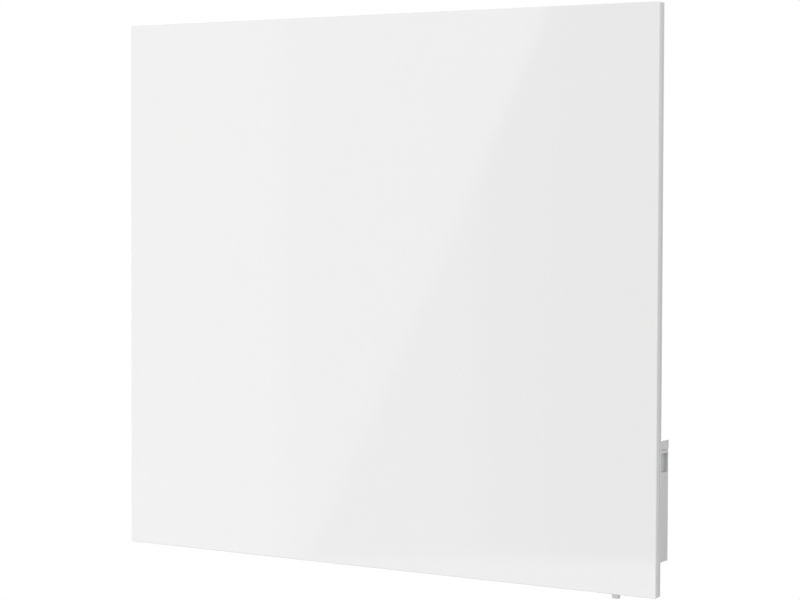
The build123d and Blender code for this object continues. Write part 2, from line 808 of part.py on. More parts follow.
# Control cover: the rear shell, with the back end of the display window in its side.
with BuildPart() as control_cover:
    block(module_left_x, module_right_x, module_back, parting, module_bottom_z, body_top_z)
    fillet(control_cover.edges().filter_by(Axis.Z).sort_by(Axis.Y)[-2:], module_edge_radius)
    top_edges = control_cover.edges().filter_by(Axis.Y).group_by(Axis.Z)[-1]
    chamfer(top_edges.sort_by(Axis.X)[-1], seam_bevel)
    parting_edges = control_cover.edges().filter_by(Axis.Z).group_by(Axis.Y)[0]
    chamfer(parting_edges.sort_by(Axis.X)[-1], parting_bevel)
    block(
        inner_left_x,
        inner_right_x,
        inner_back,
        parting,
        inner_floor_z,
        body_top_z,
        mode=Mode.SUBTRACT,
    )
    low_z = window_bottom_z - window_frame
    block(window_block_x, inner_right_x, inner_back, parting, low_z, body_top_z)
    block(
        window_floor_x,
        module_right_x,
        window_back,
        parting,
        window_bottom_z,
        window_top_z,
        mode=Mode.SUBTRACT,
    )
    with BuildSketch(Plane.XZ.offset(inner_back)):
        for post_z in cover_screw_heights:
            with Locations((cover_post_x, post_z)):
                Circle(cover_post_radius)
    extrude(amount=parting - inner_back)
    with BuildSketch(Plane.XZ.offset(module_back)):
        for post_z in cover_screw_heights:
            with Locations((cover_post_x, post_z)):
                Circle(small_screw_radius + hole_clearance)
    extrude(amount=cover_depth, mode=Mode.SUBTRACT)
control_cover.part.label = "control_cover"
export_step(control_cover.part, "parts/control_cover.step")

# Control cap: a lid over both shells that stands slightly proud, with two locating ribs.
cap_right_x = module_right_x + cap_overhang
cap_back = module_back - cap_overhang
cap_ceiling_z = module_top_z - cap_wall
with BuildPart() as control_cap:
    block(module_left_x, cap_right_x, cap_back, module_front, body_top_z, module_top_z)
    fillet(control_cap.edges().filter_by(Axis.Z).sort_by(Axis.X)[-2:], module_edge_radius)
    fillet(control_cap.faces().sort_by(Axis.Z)[-1].edges().sort_by(Axis.X)[-3:], module_edge_radius / 2)
    block(
        module_left_x + cap_wall,
        cap_right_x - cap_wall,
        cap_back + cap_wall,
        module_front - cap_wall,
        body_top_z,
        cap_ceiling_z,
        mode=Mode.SUBTRACT,
    )
    rib_low_z = body_top_z - cap_rib_depth
    rib_front = inner_front - seat_clearance
    rib_left_x = inner_left_x + seat_clearance
    block(
        inner_left_x + board_guide_length,
        window_block_x - board_guide_length,
        rib_front - cap_rib,
        rib_front,
        rib_low_z,
        cap_ceiling_z,
    )
    block(
        rib_left_x,
        rib_left_x + cap_rib,
        parting + cover_depth,
        rib_front - board_guide_length,
        rib_low_z,
        cap_ceiling_z,
    )
control_cap.part.label = "control_cap"
export_step(control_cap.part, "parts/control_cap.step")

# Display lens: a tinted pane on the floor of the window, across both shells.
with BuildPart() as display_lens:
    block(
        window_floor_x,
        window_floor_x + lens_thickness,
        window_back + seat_clearance,
        window_front - seat_clearance,
        window_bottom_z + seat_clearance,
        window_top_z - seat_clearance,
    )
display_lens.part.label = "display_lens"
export_step(display_lens.part, "parts/display_lens.step")

# Display module: a digit block on the control board, behind the lens.
with BuildPart() as display_module:
    block(
        control_board_face_x,
        window_block_x - seat_clearance,
        display_reach - display_side - display_edge,
        display_reach + display_side + display_edge,
        display_z - display_height / 2 - display_edge,
        display_z + display_height / 2 + display_edge,
    )
display_module.part.label = "display_module"
export_step(display_module.part, "parts/display_module.step")

# Control board: it stands upright behind the module's side, in the two guides.
with BuildPart() as control_board:
    block(
        control_board_x,
        control_board_face_x,
        control_board_back,
        control_board_back + control_board_length,
        control_board_bottom_z,
        control_board_bottom_z + control_board_height,
    )
control_board.part.label = "control_board"
export_step(control_board.part, "parts/control_board.step")

# Switches: one square push switch behind each button.
button_inner_x = inner_right_x - button_stop_gap - button_flange
switch_tip_x = button_inner_x - button_travel - button_stop_gap
with BuildPart() as tact_switches:
    for button_z in button_heights:
        with BuildSketch(Plane.YZ.offset(control_board_face_x)):
            with Locations((-button_reach, button_z)):
                Rectangle(switch_side, switch_side)
        extrude(amount=switch_height)
        with BuildSketch(Plane.YZ.offset(control_board_face_x + switch_height)):
            with Locations((-button_reach, button_z)):
                Circle(switch_tip_radius)
        extrude(amount=switch_tip_x - control_board_face_x - switch_height)
tact_switches.part.label = "tact_switches"
export_step(tact_switches.part, "parts/tact_switches.step")

# Buttons: three round caps, each with a flange that stops it inside the module's side.
for name, button_z in zip(("button_up", "button_mode", "button_down"), button_heights):
    with BuildPart() as button:
        with BuildSketch(Plane.YZ.offset(button_inner_x)):
            with Locations((-button_reach, button_z)):
                Circle(button_flange_radius)
        extrude(amount=button_flange)
        with BuildSketch(Plane.YZ.offset(button_inner_x)):
            with Locations((-button_reach, button_z)):
                Circle(button_radius)
        extrude(amount=module_right_x + button_stand - button_inner_x)
        fillet(button.faces().sort_by(Axis.X)[-1].edges(), button_stand / 2)
    button.part.label = name
    export_step(button.part, f"parts/{name}.step")

# Power board on its posts, with a relay, a transformer, a capacitor and a terminal block.
with BuildPart() as power_board:
    block(
        power_board_left_x,
        power_board_left_x + power_board_width,
        power_board_back,
        power_board_front,
        power_board_bottom_z,
        power_board_bottom_z + power_board_height,
    )
    with BuildSketch(Plane.XZ.offset(power_board_back)):
        with Locations(*board_screw_places):
            Circle(small_screw_radius + hole_clearance)
    extrude(amount=board_thickness, mode=Mode.SUBTRACT)
power_board.part.label = "power_board"
export_step(power_board.part, "parts/power_board.step")

board_screw = pan_screw(
    small_screw_radius,
    small_screw_head_radius,
    small_screw_head_height,
    board_thickness + board_post_length,
)
with BuildPart() as board_screws:
    with Locations(Plane((0, -power_board_back, 0), x_dir=(-1, 0, 0), z_dir=(0, 1, 0))):
        with Locations(*[(-screw_x, screw_z) for screw_x, screw_z in board_screw_places]):
            add(board_screw)
board_screws.part.label = "board_screws"
export_step(board_screws.part, "parts/board_screws.step")

for name, size, place in (
    ("relay", relay_size, relay_on_board),
    ("transformer", transformer_size, transformer_on_board),
):
    with BuildPart() as component:
        with Locations(
            (
                power_board_left_x + place[0],
                -(power_board_back - size[1] / 2),
                power_board_bottom_z + place[1],
            )
        ):
            Box(size[0], size[1], size[2])
        chamfer(component.faces().sort_by(Axis.Y)[-1].edges(), display_edge / 2)
    component.part.label = name
    export_step(component.part, f"parts/{name}.step")

with BuildPart() as capacitor:
    with BuildSketch(Plane.XZ.offset(power_board_back)):
        with Locations(
            (
                power_board_left_x + capacitor_on_board[0],
                power_board_bottom_z + capacitor_on_board[1],
            )
        ):
            Circle(capacitor_radius)
    extrude(amount=-capacitor_length)
    fillet(capacitor.faces().sort_by(Axis.Y)[-1].edges(), display_edge / 2)
capacitor.part.label = "capacitor"
export_step(capacitor.part, "parts/capacitor.step")

terminal_heights = [terminal_centre_z + step * terminal_pole for step in (1, 0, -1)]
with BuildPart() as terminal_block:
    block(
        terminal_left_x,
        terminal_left_x + terminal_width,
        power_board_back - terminal_depth,
        power_board_back,
        terminal_centre_z - terminal_poles * terminal_pole / 2,
        terminal_centre_z + terminal_poles * terminal_pole / 2,
    )
    with BuildSketch(Plane.XZ.offset(power_board_back - terminal_depth)):
        with Locations(*[(terminal_left_x + terminal_width / 2, z) for z in terminal_heights]):
            Circle(terminal_pole / 3)
    extrude(amount=terminal_pole / 2, mode=Mode.SUBTRACT)
terminal_block.part.label = "terminal_block"
export_step(terminal_block.part, "parts/terminal_block.step")

# Cover screws: driven from the wall side, through the cover into the housing's posts.
cover_screw = pan_screw(
    small_screw_radius,
    small_screw_head_radius,
    small_screw_head_height,
    cover_depth + small_screw_grip,
)
with BuildPart() as cover_screws:
    with Locations(Plane((0, -module_back, 0), x_dir=(-1, 0, 0), z_dir=(0, 1, 0))):
        with Locations(*[(-cover_post_x, post_z) for post_z in cover_screw_heights]):
            add(cover_screw)
cover_screws.part.label = "cover_screws"
export_step(cover_screws.part, "parts/cover_screws.step")

# Module screws: driven from inside the casing into the housing's bosses.
module_screw = pan_screw(
    screw_radius,
    screw_head_radius,
    screw_head_height,
    casing_sheet + module_wall + module_boss / 2,
)
with BuildPart() as module_screws:
    with Locations(Plane((casing_inner_x, -module_screw_reach, 0), x_dir=(0, 1, 0), z_dir=(-1, 0, 0))):
        with Locations(*[(0, -screw_z) for screw_z in module_screw_heights]):
            add(module_screw)
module_screws.part.label = "module_screws"
export_step(module_screws.part, "parts/module_screws.step")

# Power rocker: a frame in the module's underside, two blades above it and the rocking cap on its pins.
with BuildPart() as rocker_frame:
    with BuildSketch(Plane.XY.offset(module_bottom_z)):
        with Locations((rocker_x, -rocker_reach)):
            Rectangle(rocker_frame_width, rocker_frame_length)
    extrude(amount=rocker_frame_height)
    with BuildSketch(Plane.XY.offset(module_bottom_z)):
        with Locations((rocker_x, -rocker_reach)):
            Rectangle(rocker_frame_width + 2 * rocker_flange, rocker_frame_length + 2 * rocker_flange)
    extrude(amount=-rocker_flange_thickness)
    chamfer(rocker_frame.faces().sort_by(Axis.Z)[0].edges(), rocker_flange_thickness / 4)
    with BuildSketch(Plane.XY.offset(module_bottom_z - rocker_flange_thickness)):
        with Locations((rocker_x, -rocker_reach)):
            Rectangle(rocker_window_width, rocker_window_length)
    extrude(
        amount=rocker_flange_thickness + rocker_frame_height - rocker_frame_end_wall,
        mode=Mode.SUBTRACT,
    )
    with BuildSketch(Plane.YZ.offset(rocker_x - rocker_frame_width / 2)):
        with Locations((-rocker_reach, rocker_pivot_z)):
            Circle(rocker_pin_radius + fit_clearance)
    extrude(amount=rocker_frame_width, mode=Mode.SUBTRACT)
rocker_frame.part.label = "rocker_frame"
export_step(rocker_frame.part, "parts/rocker_frame.step")

rocker_frame_top_z = module_bottom_z + rocker_frame_height
with BuildPart() as rocker_terminals:
    with BuildSketch(Plane.XY.offset(rocker_frame_top_z)):
        with Locations((rocker_x, -rocker_reach)):
            with GridLocations(0, rocker_swing_radius, 1, 2):
                Rectangle(tab_thickness, tab_width)
    extrude(amount=rocker_tab_height)
rocker_terminals.part.label = "rocker_terminals"
export_step(rocker_terminals.part, "parts/rocker_terminals.step")

tilt_turn = Vector(0, 1, 0).rotate(Axis.X, rocker_tilt)
rocker_plane = Plane((rocker_x, -rocker_reach, rocker_pivot_z), x_dir=tilt_turn, z_dir=(1, 0, 0))
rocker_end_drop = rocker_valley + rocker_swing_radius * tilt_turn.Z / tilt_turn.Y
with BuildPart() as rocker:
    with BuildSketch(rocker_plane.offset(-rocker_width / 2)):
        with BuildLine():
            Polyline(
                (-rocker_swing_radius, rocker_inner_height),
                (-rocker_swing_radius, -rocker_end_drop),
                (0, -rocker_valley),
                (rocker_swing_radius, -rocker_end_drop),
                (rocker_swing_radius, rocker_inner_height),
                close=True,
            )
        make_face()
        Circle(rocker_swing_radius, mode=Mode.INTERSECT)
    extrude(amount=rocker_width)
    with BuildSketch(rocker_plane.offset(-rocker_frame_width / 2 + fit_clearance)):
        Circle(rocker_pin_radius)
    extrude(amount=rocker_frame_width - 2 * fit_clearance)
rocker.part.label = "rocker"
export_step(rocker.part, "parts/rocker.step")

# Cable gland: body, locknut inside, clamping nut below and the rubber seal that grips the cord.
gland_top_z = module_bottom_z - gland_hex_height
gland_nut_end_z = gland_top_z - gland_nut_height
with BuildPart() as gland_body:
    with BuildSketch(Plane.XY.offset(gland_top_z)):
        with Locations((gland_x, -gland_reach)):
            RegularPolygon(gland_across / 2, 6, major_radius=False)
    extrude(amount=gland_hex_height)
    with BuildSketch(Plane.XY.offset(module_bottom_z)):
        with Locations((gland_x, -gland_reach)):
            Circle(gland_thread_radius)
    extrude(amount=gland_thread_height)
    with BuildSketch(Plane.XY.offset(gland_top_z)):
        with Locations((gland_x, -gland_reach)):
            Circle(gland_neck_radius)
    extrude(amount=-gland_neck_height)
    with Locations((gland_x, -gland_reach, module_bottom_z)):
        Hole(gland_bore_radius)
gland_body.part.label = "gland_body"
export_step(gland_body.part, "parts/gland_body.step")

with BuildPart() as gland_locknut:
    with BuildSketch(Plane.XY.offset(inner_floor_z)):
        with Locations((gland_x, -gland_reach)):
            RegularPolygon(gland_across / 2, 6, major_radius=False)
            Circle(gland_thread_radius + fit_clearance, mode=Mode.SUBTRACT)
    extrude(amount=gland_locknut_height)
gland_locknut.part.label = "gland_locknut"
export_step(gland_locknut.part, "parts/gland_locknut.step")

with BuildPart() as gland_nut:
    with BuildSketch(Plane.XY.offset(gland_top_z)):
        with Locations((gland_x, -gland_reach)):
            RegularPolygon(gland_across / 2, 6, major_radius=False)
    extrude(amount=-gland_nut_hex_height)
    with BuildSketch(Plane.XY.offset(gland_top_z - gland_nut_hex_height)):
        with Locations((gland_x, -gland_reach)):
            Circle(gland_across / 2)
    with BuildSketch(Plane.XY.offset(gland_nut_end_z)):
        with Locations((gland_x, -gland_reach)):
            Circle(gland_nut_mouth_radius)
    loft()
    with BuildSketch(Plane.XY.offset(gland_top_z)):
        with Locations((gland_x, -gland_reach)):
            Circle(gland_neck_radius + fit_clearance)
    extrude(amount=-(gland_neck_height + fit_clearance), mode=Mode.SUBTRACT)
    with BuildSketch(Plane.XY.offset(gland_top_z)):
        with Locations((gland_x, -gland_reach)):
            Circle(gland_seal_radius + fit_clearance)
    extrude(amount=-gland_nut_height, mode=Mode.SUBTRACT)
gland_nut.part.label = "gland_nut"
export_step(gland_nut.part, "parts/gland_nut.step")

seal_end_z = gland_nut_end_z - gland_seal_stand
with BuildPart() as gland_seal:
    with BuildSketch(Plane.XZ.offset(gland_reach)):
        with BuildLine():
            Polyline(
                (gland_x + gland_seal_bore_radius, gland_top_z),
                (gland_x + gland_bore_radius - fit_clearance, gland_top_z),
                (gland_x + gland_bore_radius - fit_clearance, gland_top_z - gland_neck_height),
                (gland_x + gland_seal_radius, gland_top_z - gland_neck_height),
                (gland_x + gland_seal_radius, seal_end_z + gland_seal_tip_length),
                (gland_x + gland_seal_tip_radius, seal_end_z),
                (gland_x + gland_seal_bore_radius, seal_end_z),
                close=True,
            )
        make_face()
    revolve(axis=Axis((gland_x, -gland_reach, 0), (0, 0, 1)))
gland_seal.part.label = "gland_seal"
export_step(gland_seal.part, "parts/gland_seal.step")

# Air temperature sensor: a round-ended probe through the module's underside, with a collar inside.
with BuildPart() as air_sensor:
    with BuildSketch(Plane.XY.offset(inner_floor_z)):
        with Locations((sensor_x, -sensor_reach)):
            Circle(sensor_collar_radius)
    extrude(amount=sensor_collar_height)
    with BuildSketch(Plane.XY.offset(inner_floor_z)):
        with Locations((sensor_x, -sensor_reach)):
            Circle(sensor_radius)
    extrude(amount=-(module_wall + sensor_drop))
    fillet(air_sensor.faces().sort_by(Axis.Z)[0].edges(), sensor_tip_round)
air_sensor.part.label = "air_sensor"
export_step(air_sensor.part, "parts/air_sensor.step")

# Lead grommet: an oval rubber sleeve with a lip on both sides of the two walls.
sleeve_length = casing_sheet + module_wall
with BuildPart() as lead_grommet:
    with BuildSketch(Plane.YZ.offset(casing_inner_x)):
        with Locations((-terminal_entry_reach, terminal_centre_z)):
            SlotOverall(
                grommet_height - 2 * fit_clearance,
                grommet_width - 2 * fit_clearance,
                rotation=90,
            )
    extrude(amount=sleeve_length)
    with BuildSketch(Plane.YZ.offset(casing_inner_x), Plane.YZ.offset(inner_left_x + grommet_lip)):
        with Locations((-terminal_entry_reach, terminal_centre_z)):
            SlotOverall(grommet_height + 2 * grommet_wall, grommet_width + 2 * grommet_wall, rotation=90)
    extrude(amount=-grommet_lip)
    with BuildSketch(Plane.YZ.offset(casing_inner_x - grommet_lip)):
        with Locations((-terminal_entry_reach, terminal_centre_z)):
            SlotOverall(grommet_height - 2 * grommet_wall, grommet_width - 2 * grommet_wall, rotation=90)
    extrude(amount=sleeve_length + 2 * grommet_lip, mode=Mode.SUBTRACT)
lead_grommet.part.label = "lead_grommet"
export_step(lead_grommet.part, "parts/lead_grommet.step")

# Thermal cut-out: a round body with a tab above and below, on the platform of a bent bracket.
cutout_platform_front = casing_inner_back + cutout_stand
cutout_riser_z = cutout_z - cutout_platform / 2
with BuildPart() as cutout_bracket:
    block(
        cutout_x - cutout_bracket_width / 2,
        cutout_x + cutout_bracket_width / 2,
        casing_inner_back,
        casing_inner_back + cutout_bracket_sheet,
        cutout_riser_z - cutout_foot,
        cutout_riser_z,
    )
    block(
        cutout_x - cutout_bracket_width / 2,
        cutout_x + cutout_bracket_width / 2,
        casing_inner_back,
        cutout_platform_front,
        cutout_riser_z,
        cutout_riser_z + cutout_bracket_sheet,
    )
    block(
        cutout_x - cutout_bracket_width / 2,
        cutout_x + cutout_bracket_width / 2,
        cutout_platform_front - cutout_bracket_sheet,
        cutout_platform_front,
        cutout_riser_z,
        cutout_riser_z + cutout_platform,
    )
cutout_bracket.part.label = "cutout_bracket"
export_step(cutout_bracket.part, "parts/cutout_bracket.step")

cutout_tab_reach = cutout_platform_front + cutout_body_depth / 2
cutout_tab_end = cutout_radius + tab_length
with BuildPart() as thermal_cutout:
    with BuildSketch(Plane.XZ.offset(cutout_platform_front)):
        with Locations((cutout_x, cutout_z)):
            Circle(cutout_radius)
    extrude(amount=cutout_body_depth)
    block(
        cutout_x - tab_width / 2,
        cutout_x + tab_width / 2,
        cutout_tab_reach - tab_thickness / 2,
        cutout_tab_reach + tab_thickness / 2,
        cutout_z - cutout_tab_end,
        cutout_z + cutout_tab_end,
    )
thermal_cutout.part.label = "thermal_cutout"
export_step(thermal_cutout.part, "parts/thermal_cutout.step")

# Earth stud on the rear sheet, with a nut and a ring lug whose barrel takes the earth lead.
lug_back = casing_inner_back + earth_nut_height
barrel_reach = lug_back + earth_lug_sheet / 2
barrel_end_x = earth_x + earth_lug_radius + earth_barrel_length
with BuildPart() as earth_stud:
    with BuildSketch(Plane.XZ.offset(casing_inner_back)):
        with Locations((earth_x, earth_z)):
            RegularPolygon(earth_nut_across / 2, 6, major_radius=False)
    extrude(amount=earth_nut_height)
    with BuildSketch(Plane.XZ.offset(casing_inner_back)):
        with Locations((earth_x, earth_z)):
            Circle(earth_stud_radius)
    extrude(amount=earth_stud_length)
    with BuildSketch(Plane.XZ.offset(lug_back)):
        with Locations((earth_x, earth_z)):
            Circle(earth_lug_radius)
    extrude(amount=earth_lug_sheet)
    with BuildSketch(Plane.YZ.offset(earth_x)):
        with Locations((-barrel_reach, earth_z)):
            Circle(earth_barrel_radius)
    extrude(amount=barrel_end_x - earth_x)
earth_stud.part.label = "earth_stud"
export_step(earth_stud.part, "parts/earth_stud.step")

# Leads: each runs from one terminal to another in straight lengths joined by arcs.
live_z, neutral_z, earth_lead_z = terminal_heights
side_run_x = casing_inner_x - lead_live_gap
middle_run_x = casing_inner_x - lead_middle_gap
earth_run_x = casing_inner_x - lead_earth_gap
over_z = cutout_z + lead_over_rise
link_drop_z = cutout_z - lead_link_drop
link_side_z = upper_rod_z + lead_link_rise
entry = -terminal_entry_reach
lead_routes = {
    "lead_live": (
        (terminal_left_x, entry, live_z),
        (side_run_x, entry, live_z),
        (side_run_x, -cutout_tab_reach, over_z),
        (cutout_x, -cutout_tab_reach, over_z),
        (cutout_x, -cutout_tab_reach, cutout_z + cutout_tab_end),
    ),
    "lead_link": (
        (cutout_x, -cutout_tab_reach, cutout_z - cutout_tab_end),
        (cutout_x, -cutout_tab_reach, link_drop_z),
        (middle_run_x, -element_reach, link_side_z),
        (middle_run_x, -element_reach, upper_rod_z),
        (tab_end_x, -element_reach, upper_rod_z),
    ),
    "lead_neutral": (
        (terminal_left_x, entry, neutral_z),
        (middle_run_x, entry, neutral_z),
        (middle_run_x, -element_reach, lower_rod_z),
        (tab_end_x, -element_reach, lower_rod_z),
    ),
    "lead_earth": (
        (terminal_left_x, entry, earth_lead_z),
        (earth_run_x, entry, earth_lead_z),
        (earth_run_x, -barrel_reach, earth_z),
        (barrel_end_x, -barrel_reach, earth_z),
    ),
}
for name, route in lead_routes.items():
    start = Vector(route[0])
    with BuildPart() as lead:
        with BuildLine() as lead_path:
            FilletPolyline(*route, radius=lead_bend_radius)
        with BuildSketch(Plane(start, z_dir=Vector(route[1]) - start)):
            Circle(lead_radius)
        sweep(path=lead_path.wires()[0])
    lead.part.label = name
    export_step(lead.part, f"parts/{name}.step")

# Wall bracket rails: a web on the wall and a flange outwards that carries two hooks.
hook_inner = casing_inner_back + hook_tooth_gap
hook_outer = hook_inner + hook_tooth_depth
hook_corner = hook_tooth_depth / 2
hook_lead_in = hook_tooth_depth / 4
rivet_z_offset = (crossbar_crown + crossbar_foot) / 2
rivet_places = [
    (sign * wall_screw_x, bar * crossbar_pitch_z / 2 + foot * rivet_z_offset)
    for sign in (-1, 1)
    for bar in (-1, 1)
    for foot in (-1, 1)
]
for side, sign in (("left", -1), ("right", 1)):
    web_centre_x = sign * (rail_x + rail_sheet / 2 - rail_web / 2)
    with BuildPart() as bracket_rail:
        with Locations((web_centre_x, -rail_sheet / 2, 0)):
            Box(rail_web, rail_sheet, rail_height)
        with Locations((sign * rail_x, -bracket_depth / 2, 0)):
            Box(rail_sheet, bracket_depth, rail_height)
        for hook_top in hook_tops:
            with BuildSketch(Plane.YZ.offset(sign * rail_x - rail_sheet / 2)):
                with BuildLine():
                    Polyline(
                        (-bracket_depth, hook_top - hook_neck_height),
                        (-(hook_outer - hook_corner), hook_top - hook_neck_height),
                        (-hook_outer, hook_top - hook_neck_height + hook_corner),
                        (-hook_outer, hook_top + hook_tooth_height - hook_lead_in),
                        (-(hook_outer - hook_lead_in), hook_top + hook_tooth_height),
                        (-(hook_inner + hook_lead_in), hook_top + hook_tooth_height),
                        (-hook_inner, hook_top + hook_tooth_height - hook_lead_in),
                        (-hook_inner, hook_top),
                        (-bracket_depth, hook_top),
                        close=True,
                    )
                make_face()
            extrude(amount=rail_sheet)
        with BuildSketch(Plane.XZ):
            for screw_z in (-wall_screw_z, wall_screw_z):
                with Locations((sign * wall_screw_x, screw_z)):
                    Circle(wall_screw_hole_radius)
            for rivet_x, rivet_z in rivet_places:
                if rivet_x * sign > 0:
                    with Locations((rivet_x, rivet_z)):
                        Circle(rivet_radius + fit_clearance)
        extrude(amount=rail_sheet, mode=Mode.SUBTRACT)
    bracket_rail.part.label = f"bracket_rail_{side}"
    export_step(bracket_rail.part, f"parts/bracket_rail_{side}.step")

# Crossbars: two hat sections between the rails, with their feet riveted to the rails' webs.
crossbar_length = 2 * (rail_x - rail_sheet / 2)
foot_front = 2 * rail_sheet
for name, sign in (("upper", 1), ("lower", -1)):
    bar_z = sign * crossbar_pitch_z / 2
    half_crown = crossbar_crown / 2
    with BuildPart() as crossbar:
        block(
            -crossbar_length / 2,
            crossbar_length / 2,
            bracket_depth - rail_sheet,
            bracket_depth,
            bar_z - half_crown,
            bar_z + half_crown,
        )
        for edge in (-1, 1):
            leg_outer_z = bar_z + edge * half_crown
            leg_inner_z = leg_outer_z - edge * rail_sheet
            foot_end_z = leg_outer_z + edge * crossbar_foot
            block(
                -crossbar_length / 2,
                crossbar_length / 2,
                rail_sheet,
                bracket_depth,
                min(leg_inner_z, leg_outer_z),
                max(leg_inner_z, leg_outer_z),
            )
            block(
                -crossbar_length / 2,
                crossbar_length / 2,
                rail_sheet,
                foot_front,
                min(leg_inner_z, foot_end_z),
                max(leg_inner_z, foot_end_z),
            )
        with BuildSketch(Plane.XZ.offset(rail_sheet)):
            for rivet_x, rivet_z in rivet_places:
                if rivet_z * sign > 0:
                    with Locations((rivet_x, rivet_z)):
                        Circle(rivet_radius + fit_clearance)
        extrude(amount=rail_sheet, mode=Mode.SUBTRACT)
    crossbar.part.label = f"bracket_crossbar_{name}"
    export_step(crossbar.part, f"parts/bracket_crossbar_{name}.step")

with BuildPart() as bracket_rivets:
    with BuildSketch(Plane.XZ):
        with Locations(*rivet_places):
            Circle(rivet_radius)
    extrude(amount=foot_front)
    with BuildSketch(Plane.XZ.offset(foot_front)):
        with Locations(*rivet_places):
            Circle(rivet_head_radius)
    extrude(amount=rivet_head_height, taper=rivet_head_taper)
bracket_rivets.part.label = "bracket_rivets"
export_step(bracket_rivets.part, "parts/bracket_rivets.step")

# Bumpers: rubber pads on the crossbars that stop the casing from rattling.
with BuildPart() as bumper_pads:
    with BuildSketch(Plane.XZ.offset(bracket_depth)):
        with GridLocations(bumper_pitch_x, crossbar_pitch_z, 2, 2):
            Circle(bumper_radius)
    extrude(amount=hang_gap - bumper_gap)
bumper_pads.part.label = "bumper_pads"
export_step(bumper_pads.part, "parts/bumper_pads.step")
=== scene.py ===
"""Looks, light and camera for a wall-hung convector heater with a white glass front.

Every length is in metres, in the frame of the solid model: X runs right along the wall, Y runs into
the wall and Z runs up. The solid model keeps its shapes; this script gives each piece its material,
adds the small printed marks, and sets the studio round it.
"""

import json
import math

import bmesh
import bpy
from mathutils import Matrix, Vector


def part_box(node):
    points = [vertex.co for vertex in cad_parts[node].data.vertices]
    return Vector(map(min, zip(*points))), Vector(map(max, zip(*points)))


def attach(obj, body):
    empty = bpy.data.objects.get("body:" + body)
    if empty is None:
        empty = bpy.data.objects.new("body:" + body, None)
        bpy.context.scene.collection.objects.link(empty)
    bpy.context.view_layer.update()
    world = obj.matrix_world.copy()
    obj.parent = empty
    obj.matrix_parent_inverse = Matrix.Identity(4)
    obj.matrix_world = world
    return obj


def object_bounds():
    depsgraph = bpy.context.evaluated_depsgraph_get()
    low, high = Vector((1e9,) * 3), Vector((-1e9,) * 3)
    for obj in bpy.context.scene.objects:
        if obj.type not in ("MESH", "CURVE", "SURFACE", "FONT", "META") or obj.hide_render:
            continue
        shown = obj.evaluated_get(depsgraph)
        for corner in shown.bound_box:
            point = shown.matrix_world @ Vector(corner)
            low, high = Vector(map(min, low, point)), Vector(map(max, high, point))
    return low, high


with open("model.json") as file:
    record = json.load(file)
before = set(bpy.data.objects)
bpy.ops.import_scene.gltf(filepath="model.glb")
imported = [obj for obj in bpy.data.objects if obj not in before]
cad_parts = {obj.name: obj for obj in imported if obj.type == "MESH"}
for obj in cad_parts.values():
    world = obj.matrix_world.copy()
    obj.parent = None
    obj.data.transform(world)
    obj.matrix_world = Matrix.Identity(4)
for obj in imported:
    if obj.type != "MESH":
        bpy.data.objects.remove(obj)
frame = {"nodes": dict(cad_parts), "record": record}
solid_low, solid_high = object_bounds()

MM = 0.001
MICRON = 0.000001
RIGHT = Vector((1.0, 0.0, 0.0))
INWARD = Vector((0.0, 1.0, 0.0))
UP = Vector((0.0, 0.0, 1.0))
NO_STRETCH = (1.0, 1.0, 1.0)
WHITE = (1.0, 1.0, 1.0, 1.0)

# Camera: where the photograph was taken from, and how it was turned.
CAMERA_PLACE = Vector((0.86637, -1.42641, 0.07187))
CAMERA_YAW = math.radians(32.183)
CAMERA_PITCH = math.radians(-1.994)
CAMERA_ROLL = math.radians(0.184)
CAMERA_LENS_MM = 99.68
CAMERA_SENSOR_MM = 36.0
PICTURE_WIDTH_PX = 800
PICTURE_CENTRE_Y_PX = 300
VIEW_CENTRE_Y_PX = 270

# Lamps and room: the light on the object.
ROOM_LIGHT = 0.47
KEY_PLACE = Vector((-1.2, -6.5, 3.0))
KEY_SIZE = 3.0
KEY_POWER = 190.0
FILL_PLACE = Vector((-0.8, -6.0, -0.25))
FILL_SIZE = 1.2
FILL_POWER = 66.0
SIDE_PLACE = Vector((0.75, -0.05, 0.8))
SIDE_SIZE = 0.4
SIDE_POWER = 1.6
BACK_PLACE = Vector((-1.6, 3.2, 1.4))
BACK_SIZE = 1.6
BACK_POWER = 50.0

# Floor: a round disc below the object.
FLOOR_DROP = 0.19
FLOOR_RADIUS = 1.3
FLOOR_SIDES = 96
FLOOR_COLOUR = (0.66, 0.66, 0.66, 1.0)
FLOOR_ROUGHNESS = 0.8
FLOOR_SHADE_RADIUS = 0.45
FLOOR_WHITE_RADIUS = 0.8
FLOOR_WHITE_SHARE = 0.6

# Card and wall: what the glass mirrors. The places are points of the glass, as X or as X and Z.
CARD_DISTANCE = 3.0
CARD_EDGE_TOP = (0.137, 0.190)
CARD_EDGE_BOTTOM = (-0.054, -0.195)
CARD_STRETCH = 1.5
CARD_WIDTH = 3.0
CARD_BAND_PLACES = (0.088, 0.140)
CARD_BAND_LIGHTS = (0.48, 0.20, 0.08)
WALL_DISTANCE = 3.4
WALL_MARGIN = 1.5
WALL_HALF_HEIGHT = 3.0
WALL_BAND_PLACES = (-0.079,)
WALL_BAND_LIGHTS = (1.36, 1.10)
BAND_BLUR = 0.05
PANEL_MIDDLE_Z = 0.0

# Surface detail: how much finer structure each random pattern carries.
PATCH_DETAIL = 2.0
GLOSS_DETAIL = 4.0
RELIEF_DETAIL = 3.0


# Small scene helpers.
def add_object(name, data):
    """A new object in the scene."""
    made = bpy.data.objects.new(name, data)
    bpy.context.scene.collection.objects.link(made)
    return made


def turned_to(x_axis, y_axis, z_axis):
    """The turn that brings the three axes onto these directions."""
    return Matrix((x_axis, y_axis, z_axis)).transposed().to_4x4()


